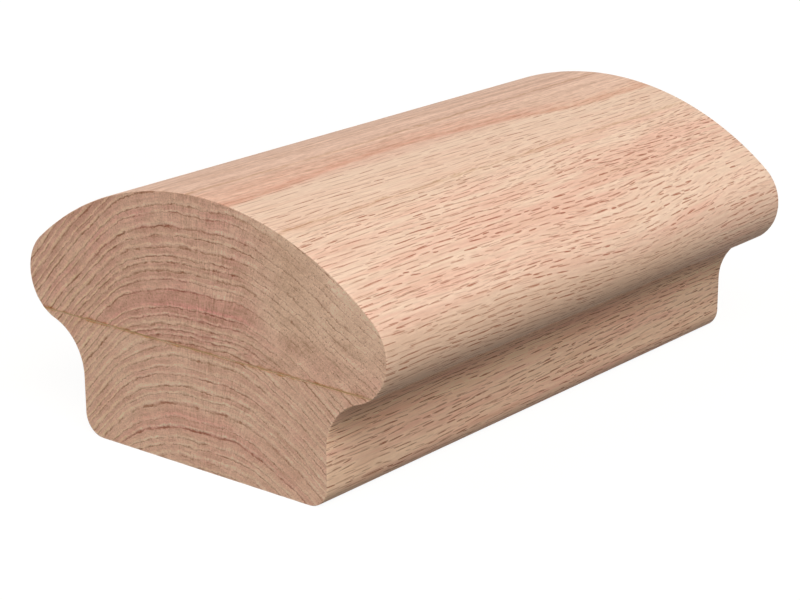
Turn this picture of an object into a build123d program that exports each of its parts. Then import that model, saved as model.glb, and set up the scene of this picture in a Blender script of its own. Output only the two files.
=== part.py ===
from build123d import *
import math
import os

# A short straight length of solid oak handrail, in millimetres.
# The rail runs along Y. Its section lies in X and Z, with the flat underside on Z = 0
# and the origin in the middle of that underside.
# Two boards are glued face to face before the section is moulded, so the moulded
# outline runs through both boards and is drawn once. The glue line then parts it.

# Driving dimensions
rail_width = 69.85
rail_height = 41.275
rail_length = 101.6
crown_radius = 50.2
roll_radius = 7.25
cove_radius = 8.4
foot_width = 48.2
foot_edge_radius = 3.5
glue_line_height = 18.35
glue_thickness = 0.2

# Centres of the section's arcs, as X and Z on the right-hand side
# The roll rounds the crown's edge from inside the crown's circle, so the two centres
# stand apart by the difference of the radii.
crown_centre = Vector(0, rail_height - crown_radius)
roll_centre_x = rail_width / 2 - roll_radius
roll_rise = math.sqrt((crown_radius - roll_radius) ** 2 - roll_centre_x**2)
roll_centre = Vector(roll_centre_x, crown_centre.Y + roll_rise)

# The cove touches the roll from outside and runs into the upright side of the foot.
cove_centre_x = foot_width / 2 + cove_radius
cove_reach = cove_centre_x - roll_centre_x
cove_drop = math.sqrt((roll_radius + cove_radius) ** 2 - cove_reach**2)
cove_centre = Vector(cove_centre_x, roll_centre.Y - cove_drop)

# Where one arc passes into the next
crown_to_roll = crown_centre + (roll_centre - crown_centre).normalized() * crown_radius
roll_to_cove = roll_centre + (cove_centre - roll_centre).normalized() * roll_radius
widest_point = roll_centre + Vector(roll_radius, 0)
cove_to_side = Vector(foot_width / 2, cove_centre.Y)


def moulded_section():
    """Closed outline of the moulding: crown, two rolls, two coves and a flat-bottomed foot."""
    crown_end_left = Vector(-crown_to_roll.X, crown_to_roll.Y)
    foot_corner = Vector(foot_width / 2, 0)
    foot_corner_left = Vector(-foot_width / 2, 0)
    with BuildSketch(Plane.XZ) as section:
        with BuildLine():
            ThreePointArc(crown_end_left, (0, rail_height), crown_to_roll)
            roll = ThreePointArc(crown_to_roll, widest_point, roll_to_cove)
            cove = TangentArc(roll_to_cove, cove_to_side, tangent=roll % 1)
            side = Line(cove_to_side, foot_corner)
            mirror([roll, cove, side], about=Plane.YZ)
            Line(foot_corner_left, foot_corner)
        make_face()
        foot_corners = section.vertices().group_by(Axis.Y)[0]
        fillet(foot_corners, foot_edge_radius)
    return section.sketch


def moulded_length():
    """The whole rail as it leaves the moulder, cut square to length about the origin."""
    return extrude(moulded_section(), amount=rail_length / 2, both=True)


def part_at_glue_line(rail):
    """The upper board, the cured glue between the two faces, and the lower board."""
    glue_top = Plane.XY.offset(glue_line_height + glue_thickness / 2)
    glue_bottom = Plane.XY.offset(glue_line_height - glue_thickness / 2)
    upper_board = split(rail, bisect_by=glue_top, keep=Keep.TOP)
    below_upper = split(rail, bisect_by=glue_top, keep=Keep.BOTTOM)
    glue_line = split(below_upper, bisect_by=glue_bottom, keep=Keep.TOP)
    lower_board = split(below_upper, bisect_by=glue_bottom, keep=Keep.BOTTOM)
    return {
        "upper_board": upper_board,
        "glue_line": glue_line,
        "lower_board": lower_board,
    }


os.makedirs("parts", exist_ok=True)
for name, solid in part_at_glue_line(moulded_length()).items():
    export_step(solid, f"parts/{name}.step")
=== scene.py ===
"""Dressed model of a short length of oak handrail: two boards glued face to face and moulded as one.

Each board is a block with its own growth rings. The same ring formula works on arrays, for the fine relief of
the mesh, and on material sockets, for the figure that shows on the long faces and on the sawn ends.
"""

import logging
import math
from dataclasses import dataclass, replace
from enum import Enum
from typing import Any, ClassVar, Optional, Union

import bpy
import numpy as np
from mathutils import Matrix, Vector


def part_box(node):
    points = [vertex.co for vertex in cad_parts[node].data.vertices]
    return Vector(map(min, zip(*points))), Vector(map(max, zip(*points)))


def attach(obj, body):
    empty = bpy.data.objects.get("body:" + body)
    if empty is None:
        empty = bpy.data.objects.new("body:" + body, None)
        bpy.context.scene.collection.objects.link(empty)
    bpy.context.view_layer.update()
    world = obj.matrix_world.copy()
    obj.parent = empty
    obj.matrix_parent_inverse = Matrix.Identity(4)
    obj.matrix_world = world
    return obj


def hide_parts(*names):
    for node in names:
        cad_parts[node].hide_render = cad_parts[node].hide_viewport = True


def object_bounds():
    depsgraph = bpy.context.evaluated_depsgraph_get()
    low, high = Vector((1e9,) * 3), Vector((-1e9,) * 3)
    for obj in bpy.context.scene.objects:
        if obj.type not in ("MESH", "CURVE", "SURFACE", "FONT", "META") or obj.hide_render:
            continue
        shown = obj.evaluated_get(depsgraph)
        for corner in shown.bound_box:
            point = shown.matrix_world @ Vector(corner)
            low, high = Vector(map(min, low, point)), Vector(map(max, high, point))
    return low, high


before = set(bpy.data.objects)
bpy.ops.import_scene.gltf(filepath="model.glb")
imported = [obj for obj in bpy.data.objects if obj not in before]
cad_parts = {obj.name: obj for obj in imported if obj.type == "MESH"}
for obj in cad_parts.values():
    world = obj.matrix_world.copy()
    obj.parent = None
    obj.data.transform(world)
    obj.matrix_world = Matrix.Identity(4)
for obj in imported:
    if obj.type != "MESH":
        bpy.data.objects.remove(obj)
cad_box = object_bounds()

MM = 0.001
GRAIN_MAP = "grain"
WOOD_TONE = (0.75, 1.0, 1.17)
log = logging.getLogger("handrail")


class Wire:
    """One value that travels through a material and can be used in Python sums."""

    def __init__(self, bench: "Bench", socket: bpy.types.NodeSocket) -> None:
        """Keeps the material's bench and the socket that gives the value."""
        self.bench = bench
        self.socket = socket

    def __add__(self, other: "Number") -> "Wire":
        """Sum."""
        return self.bench.maths("ADD", self, other)

    def __radd__(self, other: "Number") -> "Wire":
        """Sum with a plain number first."""
        return self.bench.maths("ADD", other, self)

    def __sub__(self, other: "Number") -> "Wire":
        """Difference."""
        return self.bench.maths("SUBTRACT", self, other)

    def __rsub__(self, other: "Number") -> "Wire":
        """Difference with a plain number first."""
        return self.bench.maths("SUBTRACT", other, self)

    def __mul__(self, other: "Number") -> "Wire":
        """Product."""
        return self.bench.maths("MULTIPLY", self, other)

    def __rmul__(self, other: "Number") -> "Wire":
        """Product with a plain number first."""
        return self.bench.maths("MULTIPLY", other, self)

    def __truediv__(self, other: "Number") -> "Wire":
        """Quotient."""
        return self.bench.maths("DIVIDE", self, other)

    def __rtruediv__(self, other: "Number") -> "Wire":
        """Quotient of a plain number by the value."""
        return self.bench.maths("DIVIDE", other, self)

    def __neg__(self) -> "Wire":
        """The value with its sign turned."""
        return self.bench.maths("MULTIPLY", self, -1.0)


Number = Union[Wire, float, np.ndarray]
Colour = tuple[float, float, float]


def work(operation: str, plain: Any, *values: Number) -> Number:
    """Applies one function to plain numbers or arrays, or to wires as a Math node.

    Args:
        operation: the Math node's operation.
        plain: the numpy function that gives the same result.
        values: what it is applied to.

    Returns:
        A wire where any value is a wire, and otherwise what numpy gives.
    """
    wires = [value for value in values if isinstance(value, Wire)]
    return wires[0].bench.maths(operation, *values) if wires else plain(*values)


def sine(value: Number) -> Number:
    """Sine of an angle in radians."""
    return work("SINE", np.sin, value)


def root(value: Number) -> Number:
    """Square root."""
    return work("SQRT", np.sqrt, value)


def whole(value: Number) -> Number:
    """Largest whole number below."""
    return work("FLOOR", np.floor, value)


def size_of(value: Number) -> Number:
    """The value without its sign."""
    return work("ABSOLUTE", np.abs, value)


def power_of_e(value: Number) -> Number:
    """Exponential."""
    return work("EXPONENT", np.exp, value)


def larger(value: Number, other: Number) -> Number:
    """The larger of two values."""
    return work("MAXIMUM", np.maximum, value, other)


def smaller(value: Number, other: Number) -> Number:
    """The smaller of two values."""
    return work("MINIMUM", np.minimum, value, other)


def bearing(across: Number, up: Number) -> Number:
    """Angle from straight up, growing towards +X, in radians."""
    return work("ARCTAN2", np.arctan2, across, up)


def part_of(value: Number) -> Number:
    """What is left of a value above the whole number below it."""
    return value - whole(value)


def ramp(value: Number, start: float, end: float) -> Number:
    """Smooth step: 0 before start, 1 after end, with a level start and finish.

    Args:
        value: what is compared.
        start: where the step begins, which may lie above its end.
        end: where the step is over.

    Returns:
        A value from 0 to 1.
    """
    if isinstance(value, Wire):
        return value.bench.step(value, start, end)
    share = np.clip((value - start) / (end - start), 0.0, 1.0)
    return share * share * (3.0 - 2.0 * share)


def bump_at(value: Number, centre: Number, reach: float) -> Number:
    """Bell curve of height 1 about a centre, down to about a third at its reach."""
    share = (value - centre) / reach
    return power_of_e(-(share * share))


def paint(red: int, green: int, blue: int) -> Colour:
    """Turns a colour as a screen shows it, 0 to 255, into the linear colour that a material takes."""
    shares = [channel / 255 for channel in (red, green, blue)]
    linear = [s / 12.92 if s <= 0.04045 else ((s + 0.055) / 1.055) ** 2.4 for s in shares]
    return linear[0], linear[1], linear[2]


def place_object(name: str, data: bpy.types.ID) -> bpy.types.Object:
    """Makes an object of a mesh, lamp or camera and puts it in the scene, at the origin."""
    made = bpy.data.objects.new(name, data)
    bpy.context.scene.collection.objects.link(made)
    return made


class Bench:
    """One material under construction: makes its nodes and joins them."""

    def __init__(self, name: str, tree: Optional[bpy.types.NodeTree] = None) -> None:
        """Starts an empty material of that name, or empties a tree that is there, such as the world's."""
        if tree is None:
            self.material = bpy.data.materials.new(name)
            self.material.use_nodes = True
            tree = self.material.node_tree
        self.tree = tree
        self.tree.nodes.clear()

    def node(self, kind: str, settings: dict[str, Any], inputs: dict[Any, Any]) -> bpy.types.Node:
        """Adds a node, sets what it is, then fills its sockets.

        Args:
            kind: the node's type.
            settings: its properties, such as an operation.
            inputs: a value or a wire for each socket, by index or name.

        Returns:
            The node.
        """
        made = self.tree.nodes.new(kind)
        for name, value in settings.items():
            setattr(made, name, value)
        for key, value in inputs.items():
            socket = made.inputs[key]
            if isinstance(value, Wire):
                self.tree.links.new(value.socket, socket)
            elif isinstance(value, bpy.types.NodeSocket):
                self.tree.links.new(value, socket)
            else:
                socket.default_value = value
        return made

    def maths(self, operation: str, *operands: Number) -> Wire:
        """Adds a Math node and returns its result."""
        made = self.node("ShaderNodeMath", {"operation": operation}, dict(enumerate(operands)))
        return Wire(self, made.outputs[0])

    def step(self, value: Wire, start: Number, end: Number) -> Wire:
        """Adds a Map Range node that runs smoothly from 0 at start to 1 at end."""
        inputs = {0: value, 1: start, 2: end, 3: 0.0, 4: 1.0}
        made = self.node("ShaderNodeMapRange", {"interpolation_type": "SMOOTHSTEP"}, inputs)
        return Wire(self, made.outputs[0])

    def place(self) -> tuple[Wire, Wire, Wire]:
        """Object coordinates in millimetres, as x, y and z."""
        source = self.node("ShaderNodeTexCoord", {}, {})
        split = self.node("ShaderNodeSeparateXYZ", {}, {0: source.outputs["Object"]})
        x, y, z = (Wire(self, socket) / MM for socket in split.outputs)
        return x, y, z

    def girth(self) -> Wire:
        """Distance round the section from the crown's top in millimetres, as the piece's own map gives it."""
        source = self.node("ShaderNodeUVMap", {"uv_map": GRAIN_MAP}, {})
        split = self.node("ShaderNodeSeparateXYZ", {}, {0: source.outputs["UV"]})
        return Wire(self, split.outputs[0]) / MM

    def point(self, x: Number, y: Number, z: Number) -> Wire:
        """Joins three values into a vector."""
        return Wire(self, self.node("ShaderNodeCombineXYZ", {}, {0: x, 1: y, 2: z}).outputs[0])

    def noise(
        self, x: Number, y: Number, z: Number, detail: float = 2.0, roughness: float = 0.5
    ) -> Wire:
        """Soft noise about 0, mostly within 0.5 each way, with one grain to each unit of its coordinates."""
        made = self.node(
            "ShaderNodeTexNoise",
            {"noise_dimensions": "3D"},
            {"Vector": self.point(x, y, z), "Scale": 1.0, "Detail": detail, "Roughness": roughness},
        )
        return (Wire(self, made.outputs[0]) - 0.5) * 1.6

    def dice(self, x: Number, y: Number, z: Number) -> tuple[Wire, Wire, Wire]:
        """Three random values from 0 to 1 for each whole-numbered cell."""
        place = {"Vector": self.point(x, y, z)}
        made = self.node("ShaderNodeTexWhiteNoise", {"noise_dimensions": "3D"}, place)
        split = self.node("ShaderNodeSeparateXYZ", {}, {0: made.outputs["Color"]})
        first, second, third = (Wire(self, socket) for socket in split.outputs)
        return first, second, third

    def blend(self, base: Any, other: Any, share: Number, how: str = "MIX") -> Wire:
        """Mixes two colours.

        Args:
            base: a colour or a wire.
            other: the colour that comes in.
            share: how much of it, from 0 to 1.
            how: the Mix node's kind of blending.

        Returns:
            The mixed colour.
        """
        base = (*base, 1.0) if isinstance(base, tuple) else base
        other = (*other, 1.0) if isinstance(other, tuple) else other
        settings = {"data_type": "RGBA", "blend_type": how, "clamp_factor": True}
        made = self.node("ShaderNodeMix", settings, {0: share, 6: base, 7: other})
        return Wire(self, made.outputs[2])

    def tone(self, colour: Wire, change: Number) -> Wire:
        """Lightens a colour by a share of itself, or darkens it where the share is negative, as wood does.

        Each channel is multiplied by 1 + change times its own weight, in Vector Math: red changes least and
        blue most, so the dark parts turn redder.
        """
        weighted = self.node("ShaderNodeVectorMath", {"operation": "SCALE"}, {0: WOOD_TONE, "Scale": change})
        settings = {"operation": "MULTIPLY_ADD"}
        made = self.node("ShaderNodeVectorMath", settings, {0: colour, 1: weighted.outputs[0], 2: colour})
        return Wire(self, made.outputs[0])

    def finish(
        self, colour: Wire, roughness: Number, height: Number, depth: float, gloss: float
    ) -> bpy.types.Material:
        """Joins the parts of a dull solid surface and closes the material.

        Args:
            colour: base colour.
            roughness: roughness.
            height: relief from 0 to 1.
            depth: what a height of 1 is, in metres.
            gloss: specular level.

        Returns:
            The material.
        """
        relief = self.node("ShaderNodeBump", {}, {"Strength": 1.0, "Distance": depth, "Height": height})
        surface = self.node(
            "ShaderNodeBsdfPrincipled",
            {},
            {
                "Base Color": colour,
                "Roughness": roughness,
                "Specular IOR Level": gloss,
                "Normal": relief.outputs[0],
            },
        )
        self.node("ShaderNodeOutputMaterial", {}, {0: surface.outputs[0]})
        return self.material


@dataclass(frozen=True)
class Unevenness:
    """A soft random change over the wood.

    Attributes:
        across, along: size of one grain of it, in millimetres.
        shift: keeps it apart from the board's others.
        detail, roughness: how many finer sizes it has, and how strong those are.
    """

    across: float
    along: float
    shift: float = 0.0
    detail: float = 2.0
    roughness: float = 0.5

    def at(self, bench: Bench, across: Number, along: Number, seed: float) -> Wire:
        """Its value about 0 at a place on the board with that seed."""
        spot = across / self.across, along / self.along, seed + self.shift
        return bench.noise(*spot, self.detail, self.roughness)


@dataclass(frozen=True)
class GrowthRings:
    """The rings of one board, all in millimetres, as they lie in the section.

    A ring is flat over the heart and bends down to a straight flank on each side. All rings have one form,
    one above the other, and the tree's axis wanders a little along the rail.

    Attributes:
        pith_across, pith_height: where the rays come from.
        ray_radius: distance from there at which a step along a ring is measured.
        left_knee, right_knee: where each flank begins.
        left_round, right_round: how softly it begins.
        left_slope, right_slope: fall of each flank.
        rate: rings to a millimetre under the heart.
        first: part of a ring by which the count is shifted.
        years: heights from which the tree grew faster or slower, each with the change of rate.
        seed: shifts everything random.
        near_end: place of the near end along the rail.
        year_round: how softly such a change comes.
    """

    pith_across: float
    pith_height: float
    ray_radius: float
    left_knee: float
    right_knee: float
    left_round: float
    right_round: float
    left_slope: float
    right_slope: float
    rate: float
    first: float
    years: tuple[tuple[float, float], ...]
    seed: float
    near_end: float = -50.8
    year_round: float = 0.6

    @staticmethod
    def flank(past: Number, soft: float, slope: float) -> Number:
        """One branch of a hyperbola: level before a knee, and a straight rise of that slope after it."""
        return (root(past * past + soft * soft) + past) * (slope / 2)

    def level(self, x: Number, y: Number, z: Number) -> Number:
        """Height over the heart of a point's ring: its own height, both flanks' fall and a slow wander."""
        left = self.flank(-x - self.left_knee, self.left_round, self.left_slope)
        right = self.flank(x - self.right_knee, self.right_round, self.right_slope)
        along = y - self.near_end
        wander = 0.4 * sine(along / 17.0) + 0.25 * sine(x / 4.3 + self.seed) * sine(along / 23.0)
        ripple = 0.10 * sine(x / 1.9 - y / 11.0 + 3.0 * self.seed) + 0.06 * sine(z / 1.7 + y / 7.0)
        return z + left + right + wander + ripple

    def count(self, level: Number) -> Number:
        """Rings below a level: even steps, at another rate where the tree grew faster or slower."""
        total = level * self.rate + self.first + sine(level * 1.7 + self.seed) * 0.14
        for start, change in self.years:
            total = total + self.flank(level - start, self.year_round, change)
        return total

    def pace(self, level: Number) -> Number:
        """Rings to a millimetre at a level: the slope of the count, without its slow unevenness."""
        total: Number = self.rate
        for start, change in self.years:
            past = level - start
            total = total + (past / root(past * past + self.year_round**2) + 1.0) * (change / 2)
        return total

    def across(self, x: Number, z: Number) -> Number:
        """Distance along a ring, counted by the angle of the ray through the point."""
        return bearing(x - self.pith_across, z - self.pith_height) * self.ray_radius

    def groove(self, x: Number, y: Number, z: Number) -> Number:
        """Share of the full relief at a point: each ring's open first wood lies lower than its last."""
        phase = part_of(self.count(self.level(x, y, z)))
        return ramp(phase, 0.0, 0.16) * ramp(phase, 0.62, 0.30)


@dataclass(frozen=True)
class Fleck:
    """One scatter of short dashes, the ends of rays, in millimetres.

    Attributes:
        pitch: step from row to row across the grain.
        offset: place of the first row, as a share of the pitch.
        reach: step from dash to dash along it.
        shortest: length of the shortest dash, as a share of that step.
        thickness: of the thickest dash.
        stray: how far a dash may lie off its row, as a share of the pitch.
        absent: share of the places that are empty.
        dark: how dark the darkest dash is, from 0 to 1.
        seed: keeps the scatters apart.
        soft: how far a dash's edge fades.
        margin: distance from a dash to the middle of the paler wood beside it.
        jog: how far neighbouring dashes lie off their rows together, in rows.
        jog_across, jog_along: how far across and along the grain such a group reaches.
        lean: how much a dash may slant, in rows.
        fade: how softly the paler wood beside a dash ends.
    """

    pitch: float
    offset: float
    reach: float
    shortest: float
    thickness: float
    stray: float
    absent: float
    dark: float
    seed: float
    soft: float = 0.06
    margin: float = 0.22
    jog: float = 1.4
    jog_across: float = 7.0
    jog_along: float = 3.4
    lean: float = 0.30
    fade: float = 0.13

    def mask(self, bench: Bench, across: Number, along: Number) -> tuple[Wire, Wire]:
        """Lens-shaped dashes, one to a cell, staggered from row to row and a little out of line.

        Args:
            bench: the material's bench.
            across: distance across the grain.
            along: distance along it.

        Returns:
            How dark the surface is, from 0 to the scatter's own darkness, and how pale the wood beside a
            dash is.
        """
        row = across / self.pitch + self.offset
        stagger, row_lean, _ = bench.dice(whole(row), self.seed, 0.5)
        place = along / self.reach + stagger
        shift, length, weight = bench.dice(whole(row), whole(place), self.seed + 3.0)
        middle = (whole(place) + 0.5 - stagger) * self.reach
        group = bench.noise(whole(row) * (self.pitch / self.jog_across), middle / self.jog_along, 5.0, 0.0)
        jog = group * self.jog
        off_line = part_of(place) - 0.5
        half = (self.shortest + length * (1.0 - self.shortest)) / 2.0
        slant = (shift + row_lean - 1.0) * off_line * self.lean
        off_row = part_of(row) - 0.5 - (shift - 0.5) * self.stray - slant - jog
        taper = larger(1.0 - (off_line / half) * (off_line / half), 0.0)
        strength = larger(weight - self.absent, 0.0) / (1.0 - self.absent)
        weighted = 0.60 + 0.40 * strength
        past = size_of(off_row) * self.pitch - weighted * root(taper) * (self.thickness / 2)
        body = ramp(taper, 0.0, 0.25) * smaller(strength * 4.0, 1.0) * weighted
        darkness = ramp(past, self.soft, -self.soft) * body * self.dark
        return darkness, bump_at(past, self.margin, self.fade) * body


@dataclass(frozen=True)
class Course:
    """A line along the grain, in millimetres: straight, with one bow and one slow step to the side.

    Attributes:
        across: its place across the grain.
        bow, bow_at, bow_reach: height, middle and reach of the bow.
        step, step_from, step_to: size, start and end of the step.
    """

    across: float
    bow: float = 0.0
    bow_at: float = 0.0
    bow_reach: float = 20.0
    step: float = 0.0
    step_from: float = -50.0
    step_to: float = 50.0

    def place(self, along: Number) -> Number:
        """Its place across the grain at a place along it."""
        bowed = bump_at(along, self.bow_at, self.bow_reach) * self.bow
        return bowed + ramp(along, self.step_from, self.step_to) * self.step + self.across


@dataclass(frozen=True)
class StreakOrShading:
    """A band between two courses that multiplies the wood by a tint: a streak of darker or redder wood, a
    band of painted shade or a band of painted light.

    Attributes:
        upper, lower: its two edges, the first at the lower number.
        upper_soft, lower_soft: how far each edge fades.
        tint: what it multiplies the wood by.
        strength: from 0 to 1.
    """

    upper: Course
    lower: Course
    upper_soft: float
    lower_soft: float
    tint: Colour
    strength: float

    def share(self, across: Number, along: Number) -> Number:
        """How much of the streak shows at a point."""
        above = across - self.upper.place(along)
        below = self.lower.place(along) - across
        past_upper = ramp(above, -self.upper_soft, self.upper_soft)
        return past_upper * ramp(below, -self.lower_soft, self.lower_soft) * self.strength


@dataclass(frozen=True)
class Blush:
    """A soft-edged patch on a face, in millimetres.

    Attributes:
        across, along: its middle; on a sawn end these are x and z.
        reach_across, reach_along: distance at which it is down to about a third.
        strength: at its middle.
    """

    across: float
    along: float
    reach_across: float
    reach_along: float
    strength: float = 1.0

    def share(self, across: Number, along: Number) -> Number:
        """How much of it a point gets: a bell curve across times one along."""
        wide = bump_at(across, self.across, self.reach_across)
        return wide * bump_at(along, self.along, self.reach_along) * self.strength


# Unevenness of the long faces: across, along, shift, detail and roughness.
SLOW_SWAY = Unevenness(9.0, 45.0, 0.0, 1.0)
QUICK_SWAY = Unevenness(3.0, 11.0, 4.0)
PATCHES = Unevenness(3.4, 32.0, 1.0, 3.0, 0.65)
DRIFT = Unevenness(1.1, 24.0, 2.0, 2.0, 0.6)
RAGGED_EDGE = Unevenness(0.7, 3.0, 9.0, 4.0, 0.7)
SCRATCHES = Unevenness(0.13, 3.2, 6.0, 1.0)
FIBRE = Unevenness(0.30, 6.0, 5.0, 3.0, 0.6)
LONG_LINES = Unevenness(0.75, 60.0, 7.0)
MOTTLE = Unevenness(0.5, 1.6, 10.0, 2.0, 0.65)
DASH_PLACES = Unevenness(1.1, 7.0, 12.0, 1.0)
DASH_STRENGTH = Unevenness(5.0, 16.0, 8.0)
FLECKS = (
    Fleck(0.93, 0.0, 3.9, shortest=0.66, thickness=0.19, stray=0.22, absent=0.02, dark=0.97, seed=1.0),
    Fleck(0.93, 0.06, 5.2, shortest=0.75, thickness=0.16, stray=0.22, absent=0.05, dark=0.75, seed=2.0),
    Fleck(0.93, 0.1, 2.6, shortest=0.60, thickness=0.14, stray=0.40, absent=0.45, dark=0.65, seed=3.0),
)
FINE_LINES = Fleck(
    0.96, 0.3, 6.0, shortest=0.7, thickness=0.19, stray=0.24, absent=0.02, dark=0.95, seed=4.0, jog=0.7
)


@dataclass(frozen=True)
class LongGrain:
    """Planed long face of a board: cream and rosy wood, rays cut to dashes, and fine lines with the grain.

    Attributes:
        name: the material's name.
        cream, rosy, tan: the wood's three tones.
        dash: what a dash multiplies the wood by.
        pore: what an open pore multiplies the wood by.
        quiet: the wood's tone in the left part of the calm zone.
        quiet_fade: where that tone is gone, and where it is full.
        bare_at: middle of the zones below.
        bare_reach: half width of the zone without dashes.
        calm_reach: half width of the wider zone where they are faint.
        swirl: how far the grain bends aside, in a long sweep, near a knot that was cut away.
        swirl_at, swirl_reach: middle and reach of that sweep along the rail.
        swirl_rise: where across the grain it begins, and where it is full.
        swirl_fall: where it is over again, and where it begins to fade.
        kinks: short bends beside it, each with its height as its strength.
        shortening: how much closer the dashes lie towards the far end, to a square millimetre.
        pale_from: distance from the crown's top past which the wood is tan and no longer rosy.
        pale_fade: place along the rail where that is over, and where it is full.
        streaks_and_painted_shading, blushes: streaks, bands of painted shade and painted light, and rosy
            patches, each with a place of their own.
        gloss: specular level of bare planed wood.
        relief: depth of the pores and dashes, in metres.
    """

    name: str
    cream: Colour
    rosy: Colour
    tan: Colour
    dash: Colour
    pore: Colour = paint(176, 140, 116)
    quiet: Colour = paint(238, 195, 170)
    quiet_fade: tuple[float, float] = (8.2, 5.3)
    bare_at: float = 0.0
    bare_reach: float = -20.0
    calm_reach: float = -20.0
    swirl: float = 0.0
    swirl_at: float = 11.0
    swirl_reach: float = 21.0
    swirl_rise: tuple[float, float] = (23.0, 35.0)
    swirl_fall: tuple[float, float] = (49.0, 40.0)
    kinks: tuple[Blush, ...] = ()
    shortening: float = 0.0024
    pale_from: float = 500.0
    pale_fade: tuple[float, float] = (36.0, 14.0)
    streaks_and_painted_shading: tuple[StreakOrShading, ...] = ()
    blushes: tuple[Blush, ...] = ()
    gloss: float = 0.22
    relief: float = 0.05 * MM

    def lane(self, bench: Bench, across: Wire, y: Wire, seed: float) -> Wire:
        """Place across the grain: the distance round the section, with a sway, less the bend at the knot."""
        slow = SLOW_SWAY.at(bench, across, y, seed) * 0.9
        sway = slow + QUICK_SWAY.at(bench, across, y, seed) * 0.36
        swept = bump_at(y, self.swirl_at, self.swirl_reach)
        bend = swept * ramp(across, *self.swirl_rise) * ramp(across, *self.swirl_fall) * self.swirl
        for kink in self.kinks:
            bend = bend + kink.share(across, y)
        return across + sway - bend

    def wood(self, bench: Bench, across: Wire, lane: Wire, y: Wire, calm: Wire, seed: float) -> Wire:
        """Colour of the wood: slow noise along the lanes mixes its tones, and the streaks and the bands of
        painted shade and light multiply it.

        Args:
            bench: the material's bench.
            across: distance round the section.
            lane: place across the grain.
            y: place along the rail.
            calm: share of the calm zone.
            seed: the board's.

        Returns:
            The colour.
        """
        patches = PATCHES.at(bench, lane, y, seed)
        drift = DRIFT.at(bench, lane, y, seed)
        rosiness = ramp(patches + drift * 0.8, -0.30, 0.55) * (1.0 - calm * 0.6)
        for blush in self.blushes:
            rosiness = rosiness + blush.share(lane, y) * (0.8 + drift * 3.0)
        past_roll = ramp(lane, self.pale_from - 2.0, self.pale_from + 2.0) * ramp(y, *self.pale_fade)
        colour = bench.blend(self.cream, self.rosy, smaller(rosiness, 0.85) * (1.0 - past_roll * 0.8))
        tanned = larger(ramp(drift - patches * 0.3, 0.0, 0.5) * 0.5, past_roll * 0.6)
        colour = bench.blend(colour, self.tan, tanned)
        colour = bench.blend(colour, self.quiet, calm * ramp(across, *self.quiet_fade) * 0.85)

        ragged = RAGGED_EDGE.at(bench, lane, y, seed)
        # Streaks of the wood, and bands of painted shade and painted light.
        for streak_or_shading in self.streaks_and_painted_shading:
            share = streak_or_shading.share(across + ragged * 1.5, y) * (0.85 + ragged * 1.2)
            colour = bench.blend(colour, streak_or_shading.tint, share, "MULTIPLY")
        return colour

    @staticmethod
    def rays(bench: Bench, lane: Wire, along: Wire, calm: Wire) -> tuple[Number, Number]:
        """How dark the rays' dashes are, faint in the calm zone, and how pale the wood beside them is."""
        dashes: Number = 0.0
        margins: Number = 0.0
        for fleck in FLECKS:
            dark, pale = fleck.mask(bench, lane, along)
            dashes = larger(dashes, dark * (1.0 - calm * 0.75))
            margins = larger(margins, pale)
        fine, _ = FINE_LINES.mask(bench, lane, along)
        return larger(dashes, fine * calm * 0.9), margins

    def dress(self, rings: GrowthRings) -> bpy.types.Material:
        """Builds the material for a board with these rings: the wood, its pores and fibre, then the rays.

        Args:
            rings: the board's rings, for the first wood's pores.

        Returns:
            The material.
        """
        bench = Bench(self.name)
        x, y, z = bench.place()
        seed = rings.seed
        across = bench.girth()
        lane = self.lane(bench, across, y, seed)
        away = size_of(across - self.bare_at)
        bare = ramp(away, self.bare_reach + 3.5, self.bare_reach)
        calm = ramp(away, self.calm_reach + 4.0, self.calm_reach)
        colour = self.wood(bench, across, lane, y, calm, seed)

        phase = part_of(rings.count(rings.level(x, y, z)))
        first_wood = bump_at(phase, 0.08, 0.10) * (1.0 - calm)
        pores = ramp(SCRATCHES.at(bench, lane, y, seed), 0.05, 0.40) * (first_wood * 0.5 + 0.10)
        colour = bench.blend(colour, self.pore, pores, "MULTIPLY")
        fibre = FIBRE.at(bench, lane, y, seed)
        lines = LONG_LINES.at(bench, lane, y, seed)
        mottle = MOTTLE.at(bench, lane, y, seed)
        grain = fibre * 0.20 + lines * (0.12 + bare * 0.12) + mottle * 0.18
        colour = bench.tone(colour, grain * (0.8 + bare * 1.6))

        along = y - rings.near_end
        crowded = y + along * along * self.shortening
        dashes, margins = self.rays(bench, lane, crowded + DASH_PLACES.at(bench, lane, y, seed) * 6.0, calm)
        uneven = 0.95 + DASH_STRENGTH.at(bench, lane, y, seed) * 0.8 + mottle * 1.2
        dashes = larger(dashes * uneven, 0.0) * (1.0 - bare)
        colour = bench.tone(colour, margins * (1.0 - dashes) * (1.0 - bare) * (0.09 - calm * 0.03))
        colour = bench.blend(colour, self.dash, smaller(dashes, 1.0), "MULTIPLY")

        height = 0.5 + fibre * 0.15 - dashes * 0.35 - pores * 0.4
        return bench.finish(colour, 0.60 + dashes * 0.15, height, self.relief, self.gloss)


# Unevenness of the sawn ends, in the same order.
RING_BEND = Unevenness(3.4, 3.4, 20.0, 1.0)
RAGGED_RING = Unevenness(0.9, 0.5, 21.0, 3.0, 0.7)
BLOTCHES = Unevenness(5.0, 3.0, 11.0, 3.0)
SHADOWS = Unevenness(9.0, 4.0, 22.0, 2.0, 0.6)
FADING = Unevenness(2.2, 1.2, 16.0, 3.0, 0.6)
LAYERS = Unevenness(4.0, 0.30, 18.0)
CLOUDS = Unevenness(1.2, 0.8, 17.0, 2.0, 0.6)
DOTS = Unevenness(0.26, 0.20, 12.0, 1.0)
PITS = Unevenness(0.24, 0.24, 15.0, 1.0)
SEEPING = Unevenness(3.5, 1.0, 23.0)
FINE_RAYS = Unevenness(0.32, 2.4, 13.0, 2.0, 0.6)
SPECKS = Unevenness(0.24, 0.24, 14.0, 2.0, 0.7)


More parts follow.
